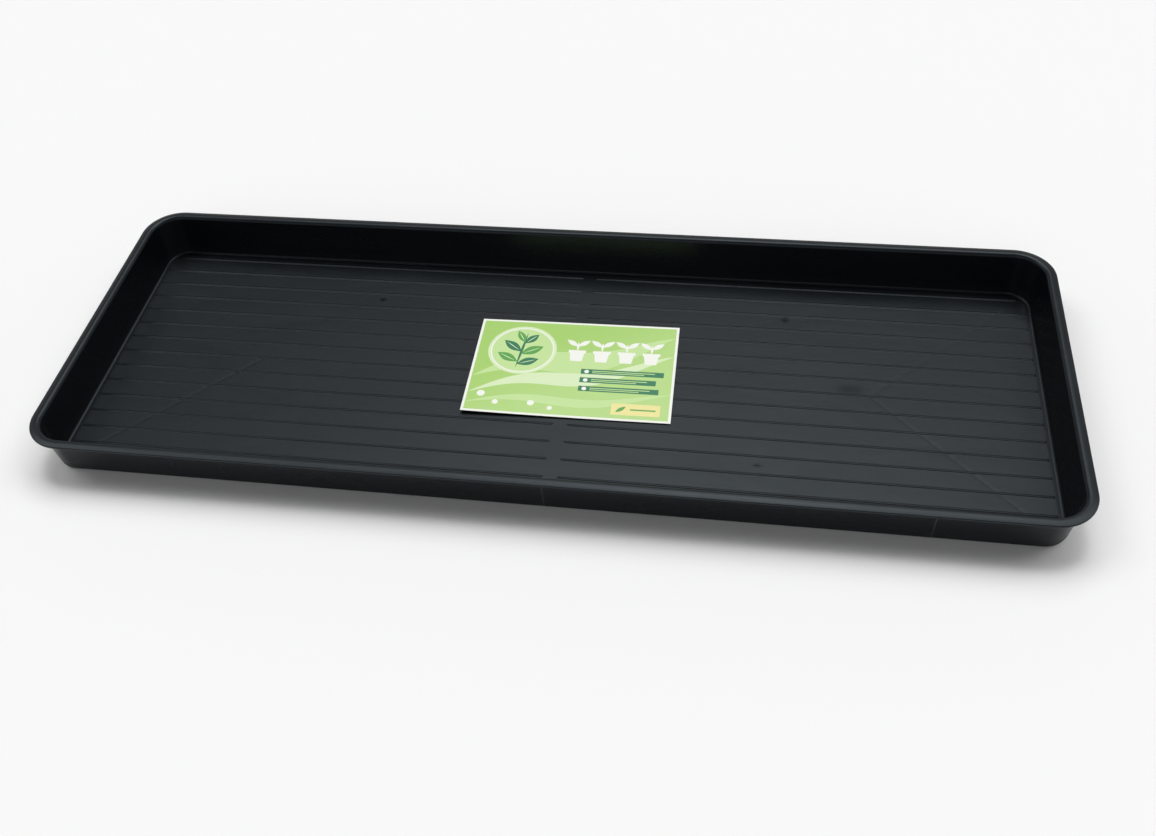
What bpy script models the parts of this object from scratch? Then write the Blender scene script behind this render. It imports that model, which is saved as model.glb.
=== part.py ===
"""Garden watering tray: one shallow moulding with a ribbed floor, and the printed card glued to it.

Metres, +Z up. The tray stands on Z = 0, centred on the origin, with its long side along X.
"""

import math

import bmesh
import bpy
from mathutils import Matrix, Vector

# Tray, outside sizes
TRAY_LENGTH = 1.100
TRAY_WIDTH = 0.405
TRAY_HEIGHT = 0.055
RIM_CORNER_RADIUS = 0.044
WALL_THICKNESS = 0.0022

# Tray section, from the rim's outer edge inwards
LIP_DEPTH = 0.0030
RIM_EDGE_DROP = 0.0012
RIM_EDGE_RADIUS = 0.0010
RIM_SLOPE_WIDTH = 0.0052
RIM_SLOPE_RADIUS = 0.0080
RIM_WIDTH = 0.0114
RIM_INNER_RADIUS = 0.0045
WALL_DRAFT = 0.0062
WALL_FOOT_RADIUS = 0.0026
CHANNEL_WIDTH = 0.0040
PANEL_STEP_RUN = 0.0016
PANEL_STEP_RISE = 0.0005
FLOOR_CROWN = 0.0024

# Ribs on top of the floor
RIB_PITCH = 0.0247
RIB_WIDTH = 0.0023
RIB_HEIGHT = 0.0007
RIB_SIDE_MARGIN = 0.0006
RIB_END_MARGIN = 0.0010
RIB_END_FADE = 0.0030
RIB_END_ROUND = 0.25
RIB_BREAK_X = 0.0165
RIB_BREAK_WIDTH = 0.015

# Stiffening fins under the floor
FIN_THICKNESS = 0.0016
FIN_LIFT = 0.0004
FIN_ROOT = 0.0012
FIN_OVERLAP = 0.0025

# Printed card
CARD_LENGTH = 0.233
CARD_WIDTH = 0.153
CARD_THICKNESS = 0.0005
CARD_X = 0.0180
CARD_Y = 0.0118
CARD_TURN = math.radians(0.9)
CARD_CURL = 0.0030
CARD_CURL_REACH = 0.190

# Glue spots between the floor and the card
SPOT_RADIUS = 0.0060
SPOT_SHOULDER = 0.0008
SPOT_END_INSET = 0.030
SPOT_SIDE_INSET = 0.020

# Clearance between touching pieces
SEAT_GAP = 0.0003

# Facets
CORNER_STEPS = 9
ARC_STEPS = 3
PANEL_STEPS_X = 9
PANEL_STEPS_Y = 9
RIB_STEPS = 6
RIB_ROUND_STEPS = 2
FIN_STEPS = 4
CARD_STEPS_X = 12
CARD_STEPS_Y = 8
SPOT_SIDES = 24
SMOOTH_ANGLE = math.radians(30)
WELD_DISTANCE = 0.000001

# Sizes that follow
FOOT_INSET = RIM_WIDTH + WALL_DRAFT
PANEL_INSET = FOOT_INSET + CHANNEL_WIDTH + PANEL_STEP_RUN
PANEL_HALF_LENGTH = TRAY_LENGTH / 2 - PANEL_INSET
PANEL_HALF_WIDTH = TRAY_WIDTH / 2 - PANEL_INSET
PANEL_CORNER_RADIUS = RIM_CORNER_RADIUS - PANEL_INSET
PANEL_HEIGHT = WALL_THICKNESS + PANEL_STEP_RISE
RIBS_EACH_SIDE = int((PANEL_HALF_WIDTH - RIB_WIDTH / 2 - RIB_SIDE_MARGIN) / RIB_PITCH)
SPOT_HEIGHT = RIB_HEIGHT - SEAT_GAP


for old in list(bpy.data.objects):
    bpy.data.objects.remove(old, do_unlink=True)

part_collection = bpy.data.collections.new("watering_tray")
bpy.context.scene.collection.children.link(part_collection)
helper_collection = bpy.data.collections.new("shaping_helpers")
helper_collection.hide_render = True
bpy.context.scene.collection.children.link(helper_collection)


def add_object(name, data, collection=part_collection):
    """Links a new object with this data to a collection."""
    made = bpy.data.objects.new(name, data)
    collection.objects.link(made)
    if collection is helper_collection:
        made.hide_render = True
        made.display_type = "WIRE"
    return made


def give_material(obj, name, color, roughness):
    """Gives an object its own plain dielectric material."""
    material = bpy.data.materials.new(name)
    material.use_nodes = True
    shader = material.node_tree.nodes["Principled BSDF"]
    shader.inputs["Base Color"].default_value = (*color, 1.0)
    shader.inputs["Roughness"].default_value = roughness
    shader.inputs["Metallic"].default_value = 0.0
    obj.data.materials.append(material)


def mesh_from_curve(curve_object, name):
    """Turns a curve into a closed helper mesh, its caps welded to its sides."""
    bpy.context.view_layer.update()
    evaluated = curve_object.evaluated_get(bpy.context.evaluated_depsgraph_get())
    mesh = bpy.data.meshes.new_from_object(evaluated)
    shape = bmesh.new()
    shape.from_mesh(mesh)
    bmesh.ops.remove_doubles(shape, verts=shape.verts, dist=WELD_DISTANCE)
    bmesh.ops.recalc_face_normals(shape, faces=shape.faces)
    bmesh.ops.triangulate(shape, faces=shape.faces)
    shape.to_mesh(mesh)
    shape.free()
    made = add_object(name, mesh, helper_collection)
    made.matrix_world = curve_object.matrix_world
    bpy.data.objects.remove(curve_object, do_unlink=True)
    return made


def rounded_profile(corners):
    """Points of an open outline whose inner corners, given as (u, z, radius), are rounded by arcs."""
    points = [Vector(corners[0][:2])]
    for before, corner, after in zip(corners, corners[1:], corners[2:]):
        here = Vector(corner[:2])
        back = (Vector(before[:2]) - here).normalized()
        ahead = (Vector(after[:2]) - here).normalized()
        radius = corner[2]
        if radius == 0:
            points.append(here)
            continue
        half_angle = back.angle(ahead) / 2
        middle = here + (back + ahead).normalized() * radius / math.sin(half_angle)
        first = here + back * radius / math.tan(half_angle) - middle
        last = here + ahead * radius / math.tan(half_angle) - middle
        sweep = first.angle(last)
        for step in range(ARC_STEPS + 1):
            along = sweep * step / ARC_STEPS
            spoke = (first * math.sin(sweep - along) + last * math.sin(along)) / math.sin(sweep)
            points.append(middle + spoke)
    points.append(Vector(corners[-1][:2]))
    return points


def rounded_rectangle(inset, height):
    """One level ring of points, this far inside the rim's outer edge, its corners round and concentric."""
    radius = RIM_CORNER_RADIUS - inset
    middle_x = TRAY_LENGTH / 2 - RIM_CORNER_RADIUS
    middle_y = TRAY_WIDTH / 2 - RIM_CORNER_RADIUS
    ring = []
    for quarter, (sign_x, sign_y) in enumerate(((1, 1), (-1, 1), (-1, -1), (1, -1))):
        for step in range(CORNER_STEPS + 1):
            angle = math.pi / 2 * (quarter + step / CORNER_STEPS)
            x = sign_x * middle_x + radius * math.cos(angle)
            y = sign_y * middle_y + radius * math.sin(angle)
            ring.append(Vector((x, y, height)))
    return ring


def floor_height(x, y):
    """Height of the floor panel's top, which rises to a low crown so that water runs to the channel."""
    along = max(1 - (x / PANEL_HALF_LENGTH) ** 2, 0)
    across = max(1 - (y / PANEL_HALF_WIDTH) ** 2, 0)
    return PANEL_HEIGHT + FLOOR_CROWN * along * across


def tray_face():
    """The upper face of the moulding, from the lip's lower edge over the rim and down to the crowned floor."""
    section = rounded_profile(
        [
            (0, TRAY_HEIGHT - LIP_DEPTH, 0),
            (0, TRAY_HEIGHT - RIM_EDGE_DROP, RIM_EDGE_RADIUS),
            (RIM_SLOPE_WIDTH, TRAY_HEIGHT, RIM_SLOPE_RADIUS),
            (RIM_WIDTH, TRAY_HEIGHT, RIM_INNER_RADIUS),
            (FOOT_INSET, WALL_THICKNESS, WALL_FOOT_RADIUS),
            (FOOT_INSET + CHANNEL_WIDTH, WALL_THICKNESS, 0),
            (PANEL_INSET, PANEL_HEIGHT, 0),
        ]
    )
    shape = bmesh.new()
    rings = []
    for inset, height in section:
        rings.append([shape.verts.new(point) for point in rounded_rectangle(inset, height)])
    for outer, inner in zip(rings, rings[1:]):
        for index in range(len(outer)):
            following = (index + 1) % len(outer)
            shape.faces.new((outer[index], outer[following], inner[following], inner[index]))
    shape.faces.new(rings[-1])
    panel_faces = [shape.faces[:][-1]]
    for count, half, normal in (
        (PANEL_STEPS_X, PANEL_HALF_LENGTH, Vector((1, 0, 0))),
        (PANEL_STEPS_Y, PANEL_HALF_WIDTH, Vector((0, 1, 0))),
    ):
        for step in range(1, count):
            place = normal * half * (2 * step / count - 1)
            edges = {edge for face in panel_faces for edge in face.edges}
            corners = {vert for face in panel_faces for vert in face.verts}
            cut = bmesh.ops.bisect_plane(
                shape,
                geom=list(corners) + list(edges) + panel_faces,
                plane_co=place,
                plane_no=normal,
            )
            panel_faces = [item for item in cut["geom"] if isinstance(item, bmesh.types.BMFace)]
    for vert in {vert for face in panel_faces for vert in face.verts}:
        vert.co.z = floor_height(vert.co.x, vert.co.y)
    bmesh.ops.triangulate(shape, faces=panel_faces)
    mesh = bpy.data.meshes.new("tray")
    shape.to_mesh(mesh)
    shape.free()
    return mesh


def rib_reach(y):
    """How far from the middle the rib at y runs, short of the panel's edge and of its round corners."""
    into_corner = max(abs(y) + RIB_WIDTH / 2 - (PANEL_HALF_WIDTH - PANEL_CORNER_RADIUS), 0)
    cut_back = PANEL_CORNER_RADIUS - math.sqrt(PANEL_CORNER_RADIUS**2 - into_corner**2)
    return PANEL_HALF_LENGTH - cut_back - RIB_END_MARGIN


def make_floor_ribs():
    """Fine round ribs along the floor, broken by a plain strip, each end sinking into the floor."""
    round_radius = (RIB_WIDTH**2 / 4 + RIB_HEIGHT**2) / (2 * RIB_HEIGHT)
    curve = bpy.data.curves.new("floor_ribs", "CURVE")
    curve.dimensions = "3D"
    curve.bevel_depth = round_radius
    curve.bevel_resolution = RIB_ROUND_STEPS
    curve.use_fill_caps = True
    for row in range(-RIBS_EACH_SIDE, RIBS_EACH_SIDE + 1):
        y = row * RIB_PITCH
        for side in (-1, 1):
            near = RIB_BREAK_X + side * RIB_BREAK_WIDTH / 2
            far = side * rib_reach(y)
            first = near + side * RIB_END_FADE
            last = far - side * RIB_END_FADE
            stations = [near]
            stations += [first + (last - first) * step / RIB_STEPS for step in range(RIB_STEPS + 1)]
            stations.append(far)
            spline = curve.splines.new("POLY")
            spline.points.add(len(stations) - 1)
            for point, x in zip(spline.points, stations):
                point.co = (x, y, floor_height(x, y) + RIB_HEIGHT - round_radius, 1)
                point.radius = RIB_END_ROUND if x in (near, far) else 1
    return mesh_from_curve(add_object("floor_ribs_curve", curve, helper_collection), "floor_ribs")


def make_fins(side):
    """Two thin fins under one end of the floor, from the foot ring's corners to the middle line at 45 degrees."""
    start = (PANEL_CORNER_RADIUS * (math.sqrt(2) - 1) - FIN_OVERLAP) / math.sqrt(2)
    shape = bmesh.new()
    feet = []
    tops = []
    for step in range(-FIN_STEPS, FIN_STEPS + 1):
        y = (PANEL_HALF_WIDTH - start) * step / FIN_STEPS
        x = side * (PANEL_HALF_LENGTH - PANEL_HALF_WIDTH + abs(y))
        feet.append(shape.verts.new((x, y, FIN_LIFT)))
        tops.append(shape.verts.new((x, y, floor_height(x, y) - WALL_THICKNESS + FIN_ROOT)))
    for index in range(len(feet) - 1):
        shape.faces.new((feet[index], feet[index + 1], tops[index + 1], tops[index]))
    mesh = bpy.data.meshes.new("fins")
    shape.to_mesh(mesh)
    shape.free()
    fins = add_object("fins", mesh, helper_collection)
    sheet = fins.modifiers.new("sheet", "SOLIDIFY")
    sheet.thickness = FIN_THICKNESS
    sheet.offset = 0
    sheet.use_even_offset = True
    return fins


def make_tray():
    """The moulding: its upper face thickened downwards, with the ribs and fins joined on."""
    tray = add_object("tray", tray_face())
    shell = tray.modifiers.new("wall", "SOLIDIFY")
    shell.thickness = WALL_THICKNESS
    shell.offset = -1
    shell.use_even_offset = True
    shell.use_quality_normals = True
    helpers = [make_floor_ribs(), make_fins(-1), make_fins(1)]
    for helper in helpers:
        join = tray.modifiers.new("join_" + helper.name, "BOOLEAN")
        join.operation = "UNION"
        join.solver = "EXACT"
        join.object = helper
    give_material(tray, "recycled_polypropylene", (0.030, 0.034, 0.037), 0.42)


def card_place(local_x, local_y):
    """Where a point of the flat card lies over the tray."""
    turned = Matrix.Rotation(CARD_TURN, 2) @ Vector((local_x, local_y))
    return turned.x + CARD_X, turned.y + CARD_Y


def card_lift(local_x, local_y):
    """How far the card has sprung up, growing from nothing to the full curl at the front left corner."""
    corner_distance = math.hypot(local_x + CARD_LENGTH / 2, local_y + CARD_WIDTH / 2)
    return CARD_CURL * max(1 - corner_distance / CARD_CURL_REACH, 0) ** 2


def make_label_card():
    """The card, which lies on the ribs and follows the floor's crown."""
    shape = bmesh.new()
    bmesh.ops.create_grid(shape, x_segments=CARD_STEPS_X, y_segments=CARD_STEPS_Y, size=0.5)
    for vert in shape.verts:
        local_x = vert.co.x * CARD_LENGTH
        local_y = vert.co.y * CARD_WIDTH
        x, y = card_place(local_x, local_y)
        rib_top = floor_height(x, y) + RIB_HEIGHT
        vert.co = Vector((local_x, local_y, rib_top + SEAT_GAP + card_lift(local_x, local_y)))
    mesh = bpy.data.meshes.new("label_card")
    shape.to_mesh(mesh)
    shape.free()
    card = add_object("label_card", mesh)
    card.location = (CARD_X, CARD_Y, 0)
    card.rotation_euler = (0, 0, CARD_TURN)
    sheet = card.modifiers.new("board", "SOLIDIFY")
    sheet.thickness = CARD_THICKNESS
    sheet.offset = 1
    give_material(card, "printed_board", (0.42, 0.66, 0.22), 0.5)


def make_glue_spot(name, side_x, side_y):
    """A flat spot of removable glue midway between two ribs, near one corner of the card."""
    x = CARD_X + side_x * (CARD_LENGTH / 2 - SPOT_END_INSET)
    wanted_y = CARD_Y + side_y * (CARD_WIDTH / 2 - SPOT_SIDE_INSET)
    y = (round(wanted_y / RIB_PITCH - 0.5) + 0.5) * RIB_PITCH
    mesh = bpy.data.meshes.new(name)
    shape = bmesh.new()
    bmesh.ops.create_cone(
        shape,
        cap_ends=True,
        segments=SPOT_SIDES,
        radius1=SPOT_RADIUS,
        radius2=SPOT_RADIUS - SPOT_SHOULDER,
        depth=SPOT_HEIGHT,
    )
    shape.to_mesh(mesh)
    shape.free()
    mesh.shade_smooth()
    mesh.set_sharp_from_angle(angle=SMOOTH_ANGLE)
    spot = add_object(name, mesh)
    spot.location = (x, y, floor_height(x, y) + SEAT_GAP + SPOT_HEIGHT / 2)
    give_material(spot, name + "_glue", (0.80, 0.79, 0.72), 0.35)


make_tray()
make_label_card()
make_glue_spot("glue_spot_back_left", -1, 1)
make_glue_spot("glue_spot_back_right", 1, 1)
make_glue_spot("glue_spot_front_right", 1, -1)
make_glue_spot("glue_spot_front_left", -1, -1)
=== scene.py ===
"""Garden watering tray: a long black moulding with a ribbed floor and the sales card glued inside it."""

import math

import bmesh
import bpy
from mathutils import Matrix, Vector, geometry


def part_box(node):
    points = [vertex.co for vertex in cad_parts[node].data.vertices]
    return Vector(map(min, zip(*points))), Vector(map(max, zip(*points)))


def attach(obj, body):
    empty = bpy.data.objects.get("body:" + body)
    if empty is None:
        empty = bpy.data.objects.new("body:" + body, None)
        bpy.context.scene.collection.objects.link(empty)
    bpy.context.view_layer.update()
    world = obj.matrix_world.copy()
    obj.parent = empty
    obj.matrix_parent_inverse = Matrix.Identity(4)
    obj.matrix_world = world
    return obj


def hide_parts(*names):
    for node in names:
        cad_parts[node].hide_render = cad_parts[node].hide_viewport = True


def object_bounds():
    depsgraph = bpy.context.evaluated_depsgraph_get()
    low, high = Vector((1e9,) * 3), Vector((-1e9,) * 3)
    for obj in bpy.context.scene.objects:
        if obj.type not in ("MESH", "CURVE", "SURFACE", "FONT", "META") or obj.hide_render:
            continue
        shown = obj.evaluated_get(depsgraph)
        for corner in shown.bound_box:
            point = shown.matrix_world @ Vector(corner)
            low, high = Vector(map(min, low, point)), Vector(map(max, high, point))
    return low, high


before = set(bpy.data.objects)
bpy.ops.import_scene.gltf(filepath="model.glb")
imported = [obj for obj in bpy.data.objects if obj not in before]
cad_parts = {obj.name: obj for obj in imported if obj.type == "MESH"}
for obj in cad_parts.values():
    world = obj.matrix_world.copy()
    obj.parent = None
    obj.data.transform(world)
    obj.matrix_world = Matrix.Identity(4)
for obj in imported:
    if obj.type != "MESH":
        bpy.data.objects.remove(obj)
cad_low, cad_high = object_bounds()

# The tray is one injection moulding of black recycled polypropylene. Its rim is turned over for
# stiffness, its walls lean outwards so that trays nest, and its floor is crowned, so that water
# runs over fine ribs to a channel along the walls. The channel's underside is the foot ring.
tray_low, tray_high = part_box("tray")
HALF_LENGTH = (tray_high.x - tray_low.x) / 2
HALF_WIDTH = (tray_high.y - tray_low.y) / 2
HEIGHT = tray_high.z
CORNER_RADIUS = 0.044
WALL = 0.0022
LIP_DEPTH = 0.0030
EDGE_DROP = 0.0012
SLOPE_WIDTH = 0.0052
RIM_WIDTH = 0.0114
FOOT_INSET = 0.0176
CHANNEL_WIDTH = 0.0028
STEP_RUN = 0.0028
STEP_RISE = 0.0002
PANEL_INSET = FOOT_INSET + CHANNEL_WIDTH + STEP_RUN
PANEL_HEIGHT = WALL + STEP_RISE
PANEL_X = HALF_LENGTH - PANEL_INSET
PANEL_Y = HALF_WIDTH - PANEL_INSET
PANEL_RADIUS = CORNER_RADIUS - PANEL_INSET
CROWN = 0.0027
LEAST_FILLET = 0.0003

# Each corner of the moulding's section, from the lip inwards: how far it lies inside the rim's edge, its
# height, and the radius that rounds it
SECTION = [
    (0, HEIGHT - LIP_DEPTH, 0),
    (0, HEIGHT - EDGE_DROP, 0.0010),
    (SLOPE_WIDTH, HEIGHT, 0.0080),
    (RIM_WIDTH, HEIGHT, 0.0045),
    (FOOT_INSET, WALL, 0.0026),
    (FOOT_INSET + CHANNEL_WIDTH, WALL, 0.0040),
    (PANEL_INSET, PANEL_HEIGHT, 0.0040),
    (PANEL_INSET + STEP_RUN, PANEL_HEIGHT, 0),
]

# The ribs stop short of the floor's edge and break off at a plain strip. The higher their softness, the
# more gently their feet run out into the floor.
RIB_PITCH = 0.0247
RIBS_EACH_SIDE = 7
RIB_HALF_WIDTH = 0.0016
RIB_HEIGHT = 0.0007
RIB_SOFTNESS = 1.5
RIB_END_MARGIN = 0.0003
RIB_END_FADE = 0.0014
BREAK_X = 0.0165
BREAK_HALF_WIDTH = 0.0075

# Four stiffening fins under the floor stop just short of the ground
FIN_HALF_THICKNESS = 0.0008
FIN_DRAFT = 0.0004
FIN_LIFT = 0.00015

# The plastic shrinks into a shallow sink over each fin, and each gate leaves a small dished scar
SINK_DEPTH = 0.00013
SINK_HALF_WIDTH = 0.0030
GATE_SCARS = [(-0.2320, 0.1127), (0.2537, 0.1155), (0.2304, -0.1106)]
SCAR_RADIUS = 0.0036
SCAR_DEPTH = 0.00015
SCAR_STEEPNESS = 1.25

# Spacing of the moulding's mesh points: round the two ends, where ribs fade at the break and at the floor's
# edge, along plain ribs, and under the floor. The margins keep them clear of the lines that they run up to.
ROUND_END_STEP = 0.025
BREAK_STEP = 0.0008
RIB_END_STEP = 0.0010
PLAIN_STEP = 0.020
UNDERSIDE_STEP = 0.030
CORNER_MARGIN = 0.0010
RIB_STEP_MARGIN = 0.0008
GRID_MARGIN = 0.0007
UNDERSIDE_MARGIN = 0.004

# Mesh points across a rib, between two ribs, across a sink and out from a scar's middle, in shares of the
# rib's half width, the ribs' pitch, the sink's half width and the scar's radius
ACROSS_RIB = (-1.25, 1.25, 0.25)
NEAR_RIB = 1.3
BETWEEN_RIBS = (0.25, 0.5, 0.75)
ACROSS_SINK = (-2.1, 2.1, 0.35)
SINK_ROWS_PER_PITCH = 8
OUT_FROM_SCAR = (0.2, 0.45, 0.7, 0.9, 1.1, 1.4)
ROUND_SCAR = 20

# Steps round each corner of the tray, the turn between two points of a fillet, and the turn from which an
# edge stays crisp
CORNER_STEPS = 16
ARC_STEP = math.radians(11)
SHARP_TURN = math.radians(50)


def line_turn(before, here, after):
    """Unit vectors back and ahead from a corner, and the turn there in radians, left turns positive."""
    back = (before - here).normalized()
    ahead = (after - here).normalized()
    turn = math.atan2((-back).cross(ahead), (-back).dot(ahead))
    return back, ahead, turn


def offset_section(corners, distance):
    """The same section moved this far to its right, its fillets kept concentric."""
    flat = [Vector(corner[:2]) for corner in corners]
    moved = []
    for index, here in enumerate(flat):
        if index == 0:
            ahead = (flat[1] - here).normalized()
            moved.append((here.x + ahead.y * distance, here.y - ahead.x * distance, 0))
        elif index == len(corners) - 1:
            back = (flat[-2] - here).normalized()
            moved.append((here.x - back.y * distance, here.y + back.x * distance, 0))
        else:
            back, ahead, turn = line_turn(flat[index - 1], here, flat[index + 1])
            side = Vector((-back.y, back.x)) + Vector((ahead.y, -ahead.x))
            place = here + side.normalized() * distance / math.cos(turn / 2)
            grown = corners[index][2] + math.copysign(distance, turn)
            moved.append((place.x, place.y, max(grown, LEAST_FILLET)))
    return moved


def rounded_section(corners):
    """Points along a section whose inner corners are rounded by arcs."""
    points = [Vector(corners[0][:2])]
    for before, corner, after in zip(corners, corners[1:], corners[2:]):
        here = Vector(corner[:2])
        back, ahead, turn = line_turn(Vector(before[:2]), here, Vector(after[:2]))
        radius = corner[2]
        reach = radius * math.tan(abs(turn) / 2)
        middle = here + (back + ahead).normalized() * radius / math.cos(turn / 2)
        spoke = here + back * reach - middle
        steps = max(2, round(abs(turn) / ARC_STEP))
        for step in range(steps + 1):
            points.append(middle + Matrix.Rotation(turn * step / steps, 2) @ spoke)
    points.append(Vector(corners[-1][:2]))
    return points


def tray_ring(inset, height):
    """Points of a level ring round the tray, this far inside the rim's edge, in line with the floor's."""
    radius = CORNER_RADIUS - inset
    side_x = HALF_LENGTH - CORNER_RADIUS
    side_y = HALF_WIDTH - CORNER_RADIUS
    columns = [x for x in sorted(rib_columns()) if abs(x) < side_x - CORNER_MARGIN]
    rows = stations(-side_y, side_y, ROUND_END_STEP)[1:-1]
    ring = []
    for quarter, (sign_x, sign_y) in enumerate(((1, 1), (-1, 1), (-1, -1), (1, -1))):
        for step in range(CORNER_STEPS + 1):
            angle = math.pi / 2 * (quarter + step / CORNER_STEPS)
            x = sign_x * side_x + radius * math.cos(angle)
            y = sign_y * side_y + radius * math.sin(angle)
            ring.append(Vector((x, y, height)))
        edge = ring[-1]
        if quarter == 0:
            ring += [Vector((x, edge.y, height)) for x in reversed(columns)]
        elif quarter == 1:
            ring += [Vector((edge.x, y, height)) for y in reversed(rows)]
        elif quarter == 2:
            ring += [Vector((x, edge.y, height)) for x in columns]
        else:
            ring += [Vector((edge.x, y, height)) for y in rows]
    return ring


def smooth_step(value):
    """0 below 0, 1 above 1, and an even rise between."""
    value = min(max(value, 0), 1)
    return value * value * (3 - 2 * value)


def crown_height(x, y):
    """How far the floor rises above its edge."""
    return CROWN * max(1 - (x / PANEL_X) ** 2, 0) * max(1 - (y / PANEL_Y) ** 2, 0)


def rib_reach(y):
    """How far from the middle the rib at y runs, short of the floor's edge and of its round corners."""
    into_corner = max(abs(y) + RIB_HALF_WIDTH - (PANEL_Y - PANEL_RADIUS), 0)
    return PANEL_X - PANEL_RADIUS + math.sqrt(PANEL_RADIUS**2 - into_corner**2) - RIB_END_MARGIN


def floor_top(x, y):
    """Height of the floor's top, its ribs included."""
    row = min(max(round(y / RIB_PITCH), -RIBS_EACH_SIDE), RIBS_EACH_SIDE)
    off_rib = abs(y - row * RIB_PITCH) / RIB_HALF_WIDTH
    rib = max(1 - off_rib**2, 0) ** RIB_SOFTNESS
    rib *= smooth_step((rib_reach(row * RIB_PITCH) - abs(x)) / RIB_END_FADE)
    rib *= smooth_step((abs(x - BREAK_X) - BREAK_HALF_WIDTH) / RIB_END_FADE)
    sink = SINK_DEPTH * smooth_step(1 - fin_distance(x, y) / SINK_HALF_WIDTH)
    scar = SCAR_DEPTH * smooth_step(SCAR_STEEPNESS * (1 - scar_distance(x, y) / SCAR_RADIUS))
    return PANEL_HEIGHT + crown_height(x, y) + RIB_HEIGHT * rib - sink - scar


def fin_distance(x, y):
    """How far a point lies from the middle line of the nearest fin, which runs at 45 degrees."""
    return abs(abs(x) - abs(y) - (PANEL_X - PANEL_Y)) / math.sqrt(2)


def scar_distance(x, y):
    """How far a point lies from the middle of the nearest gate scar."""
    return min(math.hypot(x - scar_x, y - scar_y) for scar_x, scar_y in GATE_SCARS)


def floor_underside(x, y):
    """Height of the floor's underside, its fins included."""
    plain = STEP_RISE + crown_height(x, y)
    beyond = (fin_distance(x, y) - FIN_HALF_THICKNESS) / FIN_DRAFT
    return FIN_LIFT + (plain - FIN_LIFT) * min(max(beyond, 0), 1)


def inside_panel(x, y, margin):
    """True if a point lies on the floor panel, at least this far from its edge."""
    past_x = max(abs(x) - (PANEL_X - PANEL_RADIUS), 0)
    past_y = max(abs(y) - (PANEL_Y - PANEL_RADIUS), 0)
    return math.hypot(past_x, past_y) <= PANEL_RADIUS - margin


def fill_panel(shape, ring, inner_points, creases, height, flip, loops=()):
    """Closes a ring with a triangulated panel through given points, and tells each face's topmost loop."""
    flat = [vert.co.xy for vert in ring] + [Vector(point) for point in inner_points]
    lines = []
    for start, end in creases:
        lines.append((len(flat), len(flat) + 1))
        flat += [Vector(start), Vector(end)]
    outlines = [list(range(len(ring)))]
    for loop in loops:
        outlines.append(list(range(len(flat), len(flat) + len(loop))))
        flat += loop
    found = geometry.delaunay_2d_cdt(flat, lines, outlines, 1, 1e-7, True)
    places, triangles, origins, covers = found[0], found[2], found[3], found[5]
    verts = []
    for place, origin in zip(places, origins):
        on_ring = [index for index in origin if index < len(ring)]
        if on_ring:
            verts.append(ring[on_ring[0]])
        else:
            verts.append(shape.verts.new((place.x, place.y, height(place.x, place.y))))
    faces = []
    for triangle, cover in zip(triangles, covers):
        corners = [verts[index] for index in triangle]
        faces.append((shape.faces.new(reversed(corners) if flip else corners), max(cover, default=0)))
    return faces


def stations(low, high, step):
    """Evenly spaced values from low to high, both included."""
    count = max(1, math.ceil((high - low) / step))
    return [low + (high - low) * index / count for index in range(count + 1)]


def rib_rows():
    """Every y at which the floor's mesh has a row of points: across each rib and between ribs."""
    rows = []
    for row in range(-RIBS_EACH_SIDE, RIBS_EACH_SIDE + 1):
        middle = row * RIB_PITCH
        rows += [middle + RIB_HALF_WIDTH * share for share in stations(*ACROSS_RIB)]
        if row < RIBS_EACH_SIDE:
            rows += [middle + RIB_PITCH * share for share in BETWEEN_RIBS]
    return rows


def rib_columns():
    """Every x at which the floor's mesh has a column of points, close together where ribs fade."""
    break_reach = BREAK_HALF_WIDTH + RIB_END_FADE
    end_start = rib_reach(RIBS_EACH_SIDE * RIB_PITCH) - RIB_END_FADE
    columns = stations(BREAK_X - break_reach, BREAK_X + break_reach, BREAK_STEP)
    for side in (-1, 1):
        columns += [side * x for x in stations(end_start, PANEL_X - RIB_STEP_MARGIN, RIB_END_STEP)]
    columns += stations(-end_start, BREAK_X - break_reach, PLAIN_STEP)[1:-1]
    columns += stations(BREAK_X + break_reach, end_start, PLAIN_STEP)[1:-1]
    return columns


def mark_points():
    """Extra mesh points over the fins' sinks and in the gate scars. Each rib's rows share their points' x."""
    points = []
    for y in rib_rows() + stations(-PANEL_Y, PANEL_Y, RIB_PITCH / SINK_ROWS_PER_PITCH):
        middle = round(y / RIB_PITCH) * RIB_PITCH
        on_rib = abs(y - middle) < NEAR_RIB * RIB_HALF_WIDTH
        crossing = PANEL_X - PANEL_Y + abs(middle if on_rib else y)
        for share in stations(*ACROSS_SINK):
            x = crossing + SINK_HALF_WIDTH * share
            points += [(x, y), (-x, y)]
    for scar_x, scar_y in GATE_SCARS:
        for share in OUT_FROM_SCAR:
            reach = share * SCAR_RADIUS
            for step in range(ROUND_SCAR):
                turn = math.tau * step / ROUND_SCAR
                points.append((scar_x + reach * math.cos(turn), scar_y + reach * math.sin(turn)))
    return points


def finish_mesh(shape, name):
    """Turns a bmesh into an object of the scene, smooth except over its sharp edges."""
    mesh = bpy.data.meshes.new(name)
    shape.to_mesh(mesh)
    shape.free()
    mesh.shade_smooth()
    mesh.set_sharp_from_angle(angle=SHARP_TURN)
    made = bpy.data.objects.new(name, mesh)
    bpy.context.scene.collection.objects.link(made)
    return made


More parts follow.
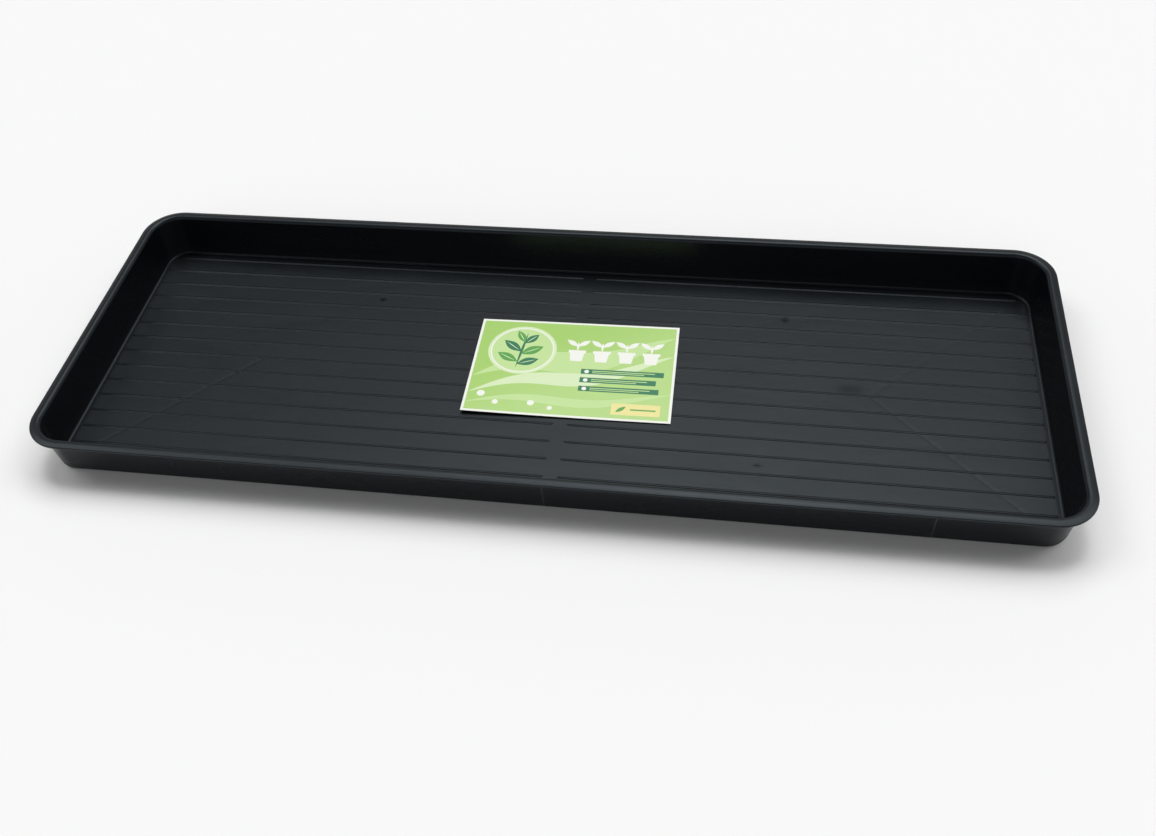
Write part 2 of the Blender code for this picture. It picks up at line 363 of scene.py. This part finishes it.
def build_tray():
    """Lofts the section round the tray and closes it with the floor's two faces."""
    # The section's last point only gives its last corner a direction, so it gets no ring
    upper = rounded_section(SECTION)[:-1]
    under = rounded_section(offset_section(SECTION, WALL))[:-1]
    shape = bmesh.new()
    rings = []
    for point in upper + under[::-1]:
        rings.append([shape.verts.new(place) for place in tray_ring(point.x, point.y)])

    # Faces join each ring to the next one, but not the floor's top ring to its underside's
    bands = [pair for pair in zip(rings, rings[1:] + rings[:1]) if pair[0] is not rings[len(upper) - 1]]
    for outer, inner in bands:
        for index in range(len(outer)):
            after = (index + 1) % len(outer)
            shape.faces.new((outer[index], outer[after], inner[after], inner[index]))

    # The floor's top, with a line through each row of points so that the ribs' flanks stay straight
    grid = [(x, y) for x in rib_columns() for y in rib_rows()] + mark_points()
    grid = [place for place in grid if inside_panel(*place, GRID_MARGIN)]
    rib_lines = []
    for y in rib_rows():
        reach = max(x for x, row in grid if row == y)
        rib_lines.append(((-reach, y), (reach, y)))
    fill_panel(shape, rings[len(upper) - 1], grid, rib_lines, floor_top, False)

    # The underside, with creases along the feet and the roots of the four fins
    creases = []
    foot = FIN_HALF_THICKNESS * math.sqrt(2)
    root = foot + FIN_DRAFT * math.sqrt(2)
    far_y = PANEL_Y - PANEL_RADIUS * (1 - math.sqrt(0.5)) - CORNER_MARGIN
    for side_x in (-1, 1):
        for side_y in (-1, 1):
            for shift in (-root, -foot, foot, root):
                middle_x = PANEL_X - PANEL_Y + shift
                creases.append(((side_x * middle_x, 0), (side_x * (middle_x + far_y), side_y * far_y)))
    under_grid = [
        (x, y)
        for x in stations(-PANEL_X, PANEL_X, UNDERSIDE_STEP)
        for y in stations(-PANEL_Y, PANEL_Y, UNDERSIDE_STEP)
        if inside_panel(x, y, UNDERSIDE_MARGIN) and fin_distance(x, y) > UNDERSIDE_MARGIN
    ]
    fill_panel(shape, rings[len(upper)], under_grid, creases, floor_underside, True)
    return finish_mesh(shape, "tray_moulding")


def srgb(hex_code):
    """A colour written as sRGB hex, turned to the linear values that Blender's shaders take."""
    channels = [int(hex_code[place:place + 2], 16) / 255 for place in (1, 3, 5)]
    linear = [part / 12.92 if part <= 0.04045 else ((part + 0.055) / 1.055) ** 2.4 for part in channels]
    return (*linear, 1)


def new_material(name):
    """An empty node material with its Principled shader."""
    material = bpy.data.materials.new(name)
    material.use_nodes = True
    return material, material.node_tree.nodes["Principled BSDF"]


def set_inputs(owner, node, inputs):
    """Sets the inputs of a node of a material or world, or links those that are given an output."""
    for name, value in inputs.items():
        if isinstance(value, bpy.types.NodeSocket):
            owner.node_tree.links.new(value, node.inputs[name])
        else:
            node.inputs[name].default_value = value


def add_node(owner, kind, settings, inputs):
    """Adds a node to a material or world, sets its options, and sets or links its inputs."""
    node = owner.node_tree.nodes.new(kind)
    for name, value in settings.items():
        setattr(node, name, value)
    set_inputs(owner, node, inputs)
    return node


# A colour Mix node's two colours and its result are told apart by number
MIX_FIRST = 6
MIX_SECOND = 7
MIX_RESULT = 2


tray = build_tray()

# Recycled polypropylene, moulded in a spark-eroded tool: carbon black all through, with a satin gloss
# that is broken up by a fine grain and by the cloudy paths along which the melt flowed.
polypropylene, plastic = new_material("moulded_recycled_polypropylene")
tray.data.materials.append(polypropylene)
melt_space = add_node(polypropylene, "ShaderNodeTexCoord", {}, {})

# The melt ran outwards from the gates in clouds some 120 mm long and 50 mm wide
melt_run = add_node(
    polypropylene, "ShaderNodeMapping", {}, {"Vector": melt_space.outputs["Object"], "Scale": (8, 20, 20)}
)
melt_clouds = add_node(
    polypropylene,
    "ShaderNodeTexNoise",
    {},
    {"Vector": melt_run.outputs["Vector"], "Scale": 1, "Detail": 4, "Roughness": 0.55, "Distortion": 0.6},
)
melt_tone = add_node(
    polypropylene,
    "ShaderNodeMix",
    {"data_type": "RGBA"},
    {"Factor": melt_clouds.outputs["Fac"], MIX_FIRST: srgb("#05080a"), MIX_SECOND: srgb("#0b0e10")},
)

# Spark erosion leaves pits of about 0.1 mm, too fine to show, so they are drawn 0.7 mm across
pits = add_node(
    polypropylene,
    "ShaderNodeTexNoise",
    {},
    {"Vector": melt_space.outputs["Object"], "Scale": 1400, "Detail": 2, "Roughness": 0.5},
)

# Stacking and handling leave hair-fine scuffs, mostly along the tray, drawn 1 mm wide and 60 mm long
scuff_run = add_node(
    polypropylene,
    "ShaderNodeMapping",
    {},
    {"Vector": melt_space.outputs["Object"], "Rotation": (0, 0, 0.35), "Scale": (16, 900, 900)},
)
scuffs = add_node(
    polypropylene, "ShaderNodeTexNoise", {}, {"Vector": scuff_run.outputs["Vector"], "Scale": 1, "Detail": 1}
)
scuff_mask = add_node(
    polypropylene,
    "ShaderNodeMapRange",
    {"interpolation_type": "SMOOTHSTEP"},
    {"Value": scuffs.outputs["Fac"], "From Min": 0.66, "From Max": 0.80, "To Min": 0, "To Max": 1},
)
cloud_gloss = add_node(
    polypropylene,
    "ShaderNodeMapRange",
    {},
    {"Value": melt_clouds.outputs["Fac"], "To Min": 0.33, "To Max": 0.47},
)
scuffed_gloss = add_node(
    polypropylene,
    "ShaderNodeMath",
    {"operation": "MULTIPLY_ADD"},
    {0: scuff_mask.outputs["Result"], 1: 0.14, 2: cloud_gloss.outputs["Result"]},
)
pitted = add_node(
    polypropylene, "ShaderNodeBump", {}, {"Height": pits.outputs["Fac"], "Strength": 0.10, "Distance": 0.0003}
)
flowed = add_node(
    polypropylene,
    "ShaderNodeBump",
    {},
    {
        "Height": melt_clouds.outputs["Fac"],
        "Strength": 0.35,
        "Distance": 0.0012,
        "Normal": pitted.outputs["Normal"],
    },
)

# The tool's walls are polished along the draw, so that the tray comes out: smoother than the floor
place_on_tray = add_node(polypropylene, "ShaderNodeSeparateXYZ", {}, {"Vector": melt_space.outputs["Object"]})
draw_polish = add_node(
    polypropylene,
    "ShaderNodeMapRange",
    {"interpolation_type": "SMOOTHSTEP"},
    {"Value": place_on_tray.outputs["Z"], "From Min": 0.007, "From Max": 0.016, "To Min": 0, "To Max": 1},
)
polished_gloss = add_node(
    polypropylene,
    "ShaderNodeMath",
    {"operation": "MULTIPLY_ADD"},
    {0: draw_polish.outputs["Result"], 1: -0.13, 2: scuffed_gloss.outputs["Value"]},
)

# Trays are stacked and carried by their rims, which rubs the top 5 mm a little duller than the rest
rim_rub = add_node(
    polypropylene,
    "ShaderNodeMapRange",
    {"interpolation_type": "SMOOTHSTEP"},
    {"Value": place_on_tray.outputs["Z"], "From Min": 0.050, "From Max": 0.0535, "To Min": 0, "To Max": 1},
)
rubbed_gloss = add_node(
    polypropylene,
    "ShaderNodeMath",
    {"operation": "MULTIPLY_ADD"},
    {0: rim_rub.outputs["Result"], 1: 0.10, 2: polished_gloss.outputs["Value"]},
)

# The melt left a dull blush at each gate, and a wider one, 50 mm by 25 mm, where it slowed right of the
# card. Each has its middle, its reach to both sides along the tray and across it, and its dulling.
BLUSHES = [
    (*GATE_SCARS[0], 0.0090, 0.0075, 0.60),
    (*GATE_SCARS[1], 0.0080, 0.0080, 0.45),
    (*GATE_SCARS[2], 0.0055, 0.0055, 0.14),
    (0.326, 0.009, 0.025, 0.0125, 0.22),
]
floor_gloss = rubbed_gloss
for blush_x, blush_y, reach_x, reach_y, dulling in BLUSHES:
    blush_place = add_node(
        polypropylene,
        "ShaderNodeMapping",
        {},
        {
            "Vector": melt_space.outputs["Object"],
            "Location": (-blush_x / reach_x, -blush_y / reach_y, 0),
            "Scale": (1 / reach_x, 1 / reach_y, 0),
        },
    )
    off_middle = add_node(
        polypropylene, "ShaderNodeVectorMath", {"operation": "LENGTH"}, {0: blush_place.outputs["Vector"]}
    )
    blush = add_node(
        polypropylene,
        "ShaderNodeMapRange",
        {"interpolation_type": "SMOOTHSTEP"},
        {
            "Value": off_middle.outputs["Value"],
            "From Min": 0.1,
            "From Max": 1,
            "To Min": dulling,
            "To Max": 0,
        },
    )
    floor_gloss = add_node(
        polypropylene,
        "ShaderNodeMath",
        {"operation": "ADD"},
        {0: blush.outputs["Result"], 1: floor_gloss.outputs["Value"]},
    )

# Two upright parting lines of the tool show on the outer front wall as thin pale lines. The paler grey is
# painted into the plastic's colour as a highlight where light catches them.
# They are some 0.3 mm wide, too fine to show, so they are drawn 1.4 mm wide.
PARTING_LINES = [BREAK_X, 0.402]
PARTING_HALF_WIDTH = 0.0007

# The outer front wall is what faces forwards, lies under the rim and lies in front of the tray's middle
FACING_FORWARDS = -0.9
UNDER_RIM = 0.050
facing = add_node(polypropylene, "ShaderNodeSeparateXYZ", {}, {"Vector": melt_space.outputs["Normal"]})
outer_front = add_node(
    polypropylene,
    "ShaderNodeMath",
    {"operation": "LESS_THAN"},
    {0: facing.outputs["Y"], 1: FACING_FORWARDS},
)
for axis, limit in (("Z", UNDER_RIM), ("Y", 0)):
    below = add_node(
        polypropylene,
        "ShaderNodeMath",
        {"operation": "LESS_THAN"},
        {0: place_on_tray.outputs[axis], 1: limit},
    )
    outer_front = add_node(
        polypropylene,
        "ShaderNodeMath",
        {"operation": "MULTIPLY"},
        {0: below.outputs["Value"], 1: outer_front.outputs["Value"]},
    )
tone = melt_tone
# Each parting line mixes a paler grey into the colour of the outer front wall: a painted highlight
for line_x in PARTING_LINES:
    on_line = add_node(
        polypropylene,
        "ShaderNodeMath",
        {"operation": "COMPARE"},
        {0: place_on_tray.outputs["X"], 1: line_x, 2: PARTING_HALF_WIDTH},
    )
    painted_highlight_line = add_node(
        polypropylene,
        "ShaderNodeMath",
        {"operation": "MULTIPLY"},
        {0: on_line.outputs["Value"], 1: outer_front.outputs["Value"]},
    )
    tone = add_node(
        polypropylene,
        "ShaderNodeMix",
        {"data_type": "RGBA"},
        {
            "Factor": painted_highlight_line.outputs["Value"],
            MIX_FIRST: tone.outputs[MIX_RESULT],
            MIX_SECOND: srgb("#2e3235"),
        },
    )

set_inputs(
    polypropylene,
    plastic,
    {
        "Base Color": tone.outputs[MIX_RESULT],
        "Roughness": floor_gloss.outputs["Value"],
        "Normal": flowed.outputs["Normal"],
        "IOR": 1.49,
        "Specular IOR Level": 0.35,
        "Specular Tint": srgb("#e6f5ff"),
    },
)
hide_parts("tray")
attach(tray, "root")

# The sales card is coated board, printed in greens on its upper side only and cut by a die with a
# white margin. It lies on the ribs, follows the floor's crown, and its front left corner has sprung.
CARD_LENGTH = 0.233
CARD_WIDTH = 0.153
CARD_THICKNESS = 0.0005
CARD_PLACE = Vector((0.0180, 0.0118))
CARD_TURN = math.radians(0.9)
CARD_CURL = 0.0030
CARD_CURL_REACH = 0.190
CARD_MARGIN = 0.0030
CARD_STEP = 0.008
SEAT_GAP = 0.0003

PAPER_WHITE = srgb("#f6f8f0")
SOFT_GREEN = srgb("#a8d36a")
PALE_GREEN = srgb("#dcefc0")
MIST_GREEN = srgb("#c6e59b")
LEAF_GREEN = srgb("#55a544")
DEEP_GREEN = srgb("#1f7a50")
SOFT_YELLOW = srgb("#efe79a")
TINT_STRENGTH = 0.5


def card_seat(local_x, local_y):
    """Height of the card's underside at a point of the flat card."""
    place = Matrix.Rotation(CARD_TURN, 2) @ Vector((local_x, local_y)) + CARD_PLACE
    corner_distance = math.hypot(local_x + CARD_LENGTH / 2, local_y + CARD_WIDTH / 2)
    spring = CARD_CURL * max(1 - corner_distance / CARD_CURL_REACH, 0) ** 2
    return PANEL_HEIGHT + crown_height(place.x, place.y) + RIB_HEIGHT + SEAT_GAP + spring


def card_face(local_x, local_y):
    """Height of the card's printed side."""
    return card_seat(local_x, local_y) + CARD_THICKNESS


def rectangle(left, right, front, back, step=0.005):
    """A closed outline with points at even steps along its sides."""
    across = stations(left, right, step)
    along = stations(front, back, step)
    loop = [Vector((x, front)) for x in across[:-1]]
    loop += [Vector((right, y)) for y in along[:-1]]
    loop += [Vector((x, back)) for x in reversed(across[1:])]
    loop += [Vector((left, y)) for y in reversed(along[1:])]
    return loop


def disc(x, y, radius, steps=48):
    """A closed round outline."""
    turns = [math.tau * step / steps for step in range(steps)]
    return [Vector((x + radius * math.cos(turn), y + radius * math.sin(turn))) for turn in turns]


def leaf(base, tip, width, steps=12):
    """The outline of a leaf that is pointed at both ends."""
    base = Vector(base)
    along = Vector(tip) - base
    side = Vector((-along.y, along.x)).normalized() * width / 2
    shares = stations(0, 1, 1 / steps)
    right = [base + along * share - side * math.sin(math.pi * share) for share in shares]
    left = [base + along * share + side * math.sin(math.pi * share) for share in shares]
    return right + left[-2:0:-1]


def wave(start, end, rise, thickness, length=0.19, end_half=0.0004, steps=46):
    """A long band between two gentle waves, narrow at both ends."""
    lower = []
    upper = []
    for share in stations(0, 1, 1 / steps):
        x = start[0] + (end[0] - start[0]) * share
        middle = start[1] + (end[1] - start[1]) * share + rise * math.sin(math.tau * (x - start[0]) / length)
        half = thickness / 2 * math.sin(math.pi * share) + end_half
        lower.append(Vector((x, middle - half)))
        upper.append(Vector((x, middle + half)))
    return lower + upper[::-1]


# Half width of a pot at each height of its side, up to the top of its rim
POT_PROFILE = [(0.30, 0), (0.38, 0.62), (0.46, 0.62), (0.46, 0.82)]


def pot(x, foot, size):
    """The outline of a plant pot with a rim, seen from the side, from shares of its size."""
    right = [Vector((x + size * half, foot + size * up)) for half, up in POT_PROFILE]
    left = [Vector((x - size * half, foot + size * up)) for half, up in POT_PROFILE]
    return right + left[::-1]


def seedling_in_pot(x, foot, size):
    """A pot with a two-leaved seedling, as outlines to print one after another."""
    soil = foot + size * POT_PROFILE[-1][1]
    fork = (x, soil + size * 0.30)
    return [
        (PAPER_WHITE, pot(x, foot, size)),
        (PAPER_WHITE, leaf((x, soil - 0.001), (x, soil + size * 0.62), size * 0.13)),
        (PAPER_WHITE, leaf(fork, (x + size * 0.62, soil + size * 0.78), size * 0.30)),
        (PAPER_WHITE, leaf(fork, (x - size * 0.62, soil + size * 0.78), size * 0.30)),
    ]


def card_artwork():
    """The printed shapes in the order of printing, each an ink and its outline."""
    edge_x = CARD_LENGTH / 2 - CARD_MARGIN
    edge_y = CARD_WIDTH / 2 - CARD_MARGIN
    shapes = [(SOFT_GREEN, rectangle(-edge_x, edge_x, -edge_y, edge_y))]
    for ink, start, end, rise, thickness in (
        (MIST_GREEN, (-0.112, -0.020), (0.112, 0.048), 0.010, 0.034),
        (PALE_GREEN, (-0.112, -0.046), (0.112, 0.018), 0.009, 0.020),
        (MIST_GREEN, (-0.112, -0.062), (0.112, -0.040), 0.006, 0.012),
    ):
        shapes.append((ink, wave(start, end, rise, thickness)))

    # A leaf sprig in a roundel: its ground and its ring, its stem, then its leaves with their midribs
    for ink, radius in ((PALE_GREEN, 0.040), (PAPER_WHITE, 0.037), (MIST_GREEN, 0.0355)):
        shapes.append((ink, disc(-0.062, 0.026, radius)))
    shapes.append((DEEP_GREEN, leaf((-0.066, -0.005), (-0.059, 0.056), 0.0030)))
    for start, tip, width, ink in (
        ((-0.0655, 0.002), (-0.041, 0.012), 0.012, DEEP_GREEN),
        ((-0.0652, 0.006), (-0.090, 0.020), 0.012, LEAF_GREEN),
        ((-0.0630, 0.019), (-0.038, 0.033), 0.013, LEAF_GREEN),
        ((-0.0628, 0.023), (-0.085, 0.041), 0.012, DEEP_GREEN),
        ((-0.0605, 0.037), (-0.046, 0.053), 0.010, DEEP_GREEN),
        ((-0.0605, 0.039), (-0.071, 0.058), 0.009, LEAF_GREEN),
    ):
        shapes.append((ink, leaf(start, tip, width)))
        bare_end = (Vector(tip) - Vector(start)) * 0.12
        shapes.append((PALE_GREEN, leaf(Vector(start) + bare_end, Vector(tip) - bare_end, 0.0011)))

    # Four potted seedlings in a row
    pot_pitch = 0.0285
    for step in range(4):
        shapes += seedling_in_pot(0.002 + pot_pitch * step, 0.012, 0.022)

    # Three bars under them, each with a spot and two thin lines in it
    bar_pitch = 0.0135
    for row, reach in enumerate((0.104, 0.096, 0.100)):
        y = -0.004 - bar_pitch * row
        shapes.append((DEEP_GREEN, rectangle(0.010, reach, y - 0.0040, y + 0.0040)))
        shapes.append((PAPER_WHITE, disc(0.0165, y, 0.0027, 20)))
        shapes.append((MIST_GREEN, rectangle(0.023, reach - 0.010, y + 0.0006, y + 0.0018)))
        shapes.append((MIST_GREEN, rectangle(0.023, reach - 0.022, y - 0.0020, y - 0.0009)))

    # A yellow field with a leaf and a line, and dots along the front
    shapes.append((SOFT_YELLOW, rectangle(0.050, 0.104, -0.068, -0.051)))
    shapes.append((LEAF_GREEN, leaf((0.055, -0.0640), (0.066, -0.0550), 0.0048)))
    shapes.append((LEAF_GREEN, rectangle(0.071, 0.099, -0.0605, -0.0585)))
    for x, y, radius in (
        (-0.098, -0.048, 0.0046),
        (-0.080, -0.060, 0.0034),
        (-0.040, -0.058, 0.0040),
        (-0.018, -0.064, 0.0030),
    ):
        shapes.append((PAPER_WHITE, disc(x, y, radius, 24)))
    return shapes


def fade(ink, local_x, local_y):
    """The ground's green grows paler towards the card's front right, as a printed tint does."""
    if ink is not SOFT_GREEN:
        return ink
    share = smooth_step(0.5 + local_x / CARD_LENGTH - local_y / CARD_WIDTH) * TINT_STRENGTH
    return tuple(here + (there - here) * share for here, there in zip(SOFT_GREEN, MIST_GREEN))


def build_card():
    """The card's two faces and its cut edge, the printed face cut along the artwork's outlines."""
    outline = rectangle(-CARD_LENGTH / 2, CARD_LENGTH / 2, -CARD_WIDTH / 2, CARD_WIDTH / 2)
    artwork = card_artwork()
    shape = bmesh.new()
    ink_layer = shape.loops.layers.float_color.new("ink")
    top_ring = [shape.verts.new((place.x, place.y, card_face(place.x, place.y))) for place in outline]
    low_ring = [shape.verts.new((place.x, place.y, card_seat(place.x, place.y))) for place in outline]
    grid = [
        (x, y)
        for x in stations(-CARD_LENGTH / 2, CARD_LENGTH / 2, CARD_STEP)[1:-1]
        for y in stations(-CARD_WIDTH / 2, CARD_WIDTH / 2, CARD_STEP)[1:-1]
    ]
    printed = fill_panel(shape, top_ring, grid, [], card_face, False, [loop for ink, loop in artwork])
    for face, topmost in printed:
        ink = artwork[topmost - 1][0] if topmost else PAPER_WHITE
        for corner in face.loops:
            corner[ink_layer] = fade(ink, corner.vert.co.x, corner.vert.co.y)
    bare = [face for face, topmost in fill_panel(shape, low_ring, grid, [], card_seat, True)]
    for index in range(len(outline)):
        after = (index + 1) % len(outline)
        bare.append(shape.faces.new((top_ring[after], top_ring[index], low_ring[index], low_ring[after])))
    for face in bare:
        face.material_index = 1
    made = finish_mesh(shape, "sales_card")
    made.location = (CARD_PLACE.x, CARD_PLACE.y, 0)
    made.rotation_euler = (0, 0, CARD_TURN)
    return made


sales_card = build_card()

# Litho print on clay-coated board: an even, slightly shiny film of ink. The real halftone has 7 dots
# to the millimetre, too fine to show, so its mottle is drawn at about 1 mm.
printed_board, print_shader = new_material("litho_printed_coated_board")
sales_card.data.materials.append(printed_board)
print_ink = add_node(printed_board, "ShaderNodeAttribute", {"attribute_name": "ink"}, {})
print_space = add_node(printed_board, "ShaderNodeTexCoord", {}, {})
print_mottle = add_node(
    printed_board,
    "ShaderNodeTexNoise",
    {},
    {"Vector": print_space.outputs["Object"], "Scale": 900, "Detail": 2, "Roughness": 0.6},
)
ink_depth = add_node(
    printed_board,
    "ShaderNodeMapRange",
    {},
    {"Value": print_mottle.outputs["Fac"], "To Min": 0.94, "To Max": 1.04},
)
ink_film = add_node(
    printed_board,
    "ShaderNodeVectorMath",
    {"operation": "SCALE"},
    {"Vector": print_ink.outputs["Color"], "Scale": ink_depth.outputs["Result"]},
)

# The coating's gloss varies in clouds some 25 mm wide
coating_cloud = add_node(
    printed_board,
    "ShaderNodeTexNoise",
    {},
    {"Vector": print_space.outputs["Object"], "Scale": 40, "Detail": 3},
)
coating_gloss = add_node(
    printed_board,
    "ShaderNodeMapRange",
    {},
    {"Value": coating_cloud.outputs["Fac"], "To Min": 0.34, "To Max": 0.50},
)
coating_grain = add_node(
    printed_board,
    "ShaderNodeBump",
    {},
    {"Height": print_mottle.outputs["Fac"], "Strength": 0.08, "Distance": 0.0002},
)
set_inputs(
    printed_board,
    print_shader,
    {
        "Base Color": ink_film.outputs["Vector"],
        "Roughness": coating_gloss.outputs["Result"],
        "Normal": coating_grain.outputs["Normal"],
        "IOR": 1.5,
    },
)

# The back and the die-cut edge are bare recycled board, dull and greyish, with fibres 1 to 3 mm long.
bare_board, board_shader = new_material("bare_recycled_board")
sales_card.data.materials.append(bare_board)
board_space = add_node(bare_board, "ShaderNodeTexCoord", {}, {})
fibres = add_node(
    bare_board,
    "ShaderNodeTexNoise",
    {},
    {"Vector": board_space.outputs["Object"], "Scale": 450, "Detail": 5, "Roughness": 0.7, "Distortion": 1.5},
)
board_tone = add_node(
    bare_board,
    "ShaderNodeMix",
    {"data_type": "RGBA"},
    {"Factor": fibres.outputs["Fac"], MIX_FIRST: srgb("#b9b3a3"), MIX_SECOND: srgb("#dcd7ca")},
)
board_nap = add_node(
    bare_board, "ShaderNodeBump", {}, {"Height": fibres.outputs["Fac"], "Strength": 0.25, "Distance": 0.0001}
)
set_inputs(
    bare_board,
    board_shader,
    {"Base Color": board_tone.outputs[MIX_RESULT], "Roughness": 0.85, "Normal": board_nap.outputs["Normal"]},
)
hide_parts("label_card")
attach(sales_card, "root")

# Four spots of clear removable glue hold the card to the floor between the ribs. The glue is a soft
# rubbery blob that was put down warm and pressed flat, with clouds of 3 mm inside and a tacky sheen on top.
removable_glue, glue_shader = new_material("clear_removable_hot_melt")
glue_space = add_node(removable_glue, "ShaderNodeTexCoord", {}, {})
glue_cloud = add_node(
    removable_glue,
    "ShaderNodeTexNoise",
    {},
    {"Vector": glue_space.outputs["Object"], "Scale": 320, "Detail": 3},
)
glue_tone = add_node(
    removable_glue,
    "ShaderNodeMix",
    {"data_type": "RGBA"},
    {"Factor": glue_cloud.outputs["Fac"], MIX_FIRST: srgb("#d8d2bd"), MIX_SECOND: srgb("#efebdc")},
)
glue_wetness = add_node(
    removable_glue,
    "ShaderNodeMapRange",
    {},
    {"Value": glue_cloud.outputs["Fac"], "To Min": 0.18, "To Max": 0.42},
)
glue_ripple = add_node(
    removable_glue,
    "ShaderNodeBump",
    {},
    {"Height": glue_cloud.outputs["Fac"], "Strength": 0.3, "Distance": 0.0002},
)
set_inputs(
    removable_glue,
    glue_shader,
    {
        "Base Color": glue_tone.outputs[MIX_RESULT],
        "Roughness": glue_wetness.outputs["Result"],
        "Normal": glue_ripple.outputs["Normal"],
        "IOR": 1.48,
        "Transmission Weight": 0.35,
    },
)
for corner in ("back_left", "back_right", "front_right", "front_left"):
    bpy.data.objects["glue_spot_" + corner].material_slots[0].material = removable_glue

# The stage is a plain pale floor under soft studio light. A broad light behind the tray greys its floor by
# reflection, a small one above it edges the rim, two at the sides and a weak one in front fill in, and the
# room is pale low down and darker overhead.
bpy.ops.mesh.primitive_plane_add(size=60, location=(0, 0, cad_low.z))
ground = bpy.context.object
ground.name = "studio_floor"
paint, paint_shader = new_material("matt_studio_paint")
ground.data.materials.append(paint)
paint_shader.inputs["Base Color"].default_value = srgb("#fafafa")
paint_shader.inputs["Roughness"].default_value = 0.9


def soft_light(name, azimuth, elevation, strength, breadth):
    """A far, round soft light. Its azimuth runs from +Y towards +X, and all its angles are in degrees."""
    light = bpy.data.lights.new(name, "SUN")
    light.energy = strength
    light.angle = math.radians(breadth)
    stand = bpy.data.objects.new(name, light)
    turn = math.radians(azimuth)
    rise = math.radians(elevation)
    towards = Vector((math.sin(turn) * math.cos(rise), math.cos(turn) * math.cos(rise), math.sin(rise)))
    stand.location = towards * 4
    stand.rotation_euler = towards.to_track_quat("Z", "Y").to_euler()
    bpy.context.scene.collection.objects.link(stand)


soft_light("window_light", -1, 64, 1.20, 39)
soft_light("top_light", -4, 76, 0.32, 12)
soft_light("left_light", -76, 52, 0.64, 28)
soft_light("right_light", 64, 52, 0.76, 32)
soft_light("front_light", 188, 29, 0.15, 16)

room = bpy.data.worlds.new("pale_room")
room.use_nodes = True
heading = add_node(room, "ShaderNodeTexCoord", {}, {})
height_part = add_node(room, "ShaderNodeSeparateXYZ", {}, {"Vector": heading.outputs["Generated"]})
paleness = add_node(
    room,
    "ShaderNodeMapRange",
    {"interpolation_type": "SMOOTHSTEP"},
    {"Value": height_part.outputs["Z"], "From Min": 0.05, "From Max": 0.55, "To Min": 0.80, "To Max": 0.11},
)
room_light = room.node_tree.nodes["Background"]
set_inputs(room, room_light, {"Color": (1, 1, 1, 1), "Strength": paleness.outputs["Result"]})
bpy.context.scene.world = room

# The camera stands where the photographer stood, a little to the right and 47 degrees above.
CAMERA_PLACE = Vector((0.2045, -0.9493, 0.9710))
CAMERA_TURN = math.radians(13.155)
CAMERA_ABOVE = math.radians(47.160)
CAMERA_ROLL = math.radians(-5.672)
camera_data = bpy.data.cameras.new("camera")
camera_data.lens = 37.52
camera_data.shift_x = 0.02807
camera_data.shift_y = 0.00641
camera = bpy.data.objects.new("camera", camera_data)
camera.matrix_world = (
    Matrix.Translation(CAMERA_PLACE)
    @ Matrix.Rotation(CAMERA_TURN, 4, "Z")
    @ Matrix.Rotation(math.pi / 2 - CAMERA_ABOVE, 4, "X")
    @ Matrix.Rotation(CAMERA_ROLL, 4, "Z")
)
bpy.context.scene.collection.objects.link(camera)
bpy.context.scene.camera = camera
bpy.context.scene.view_settings.view_transform = "Standard"
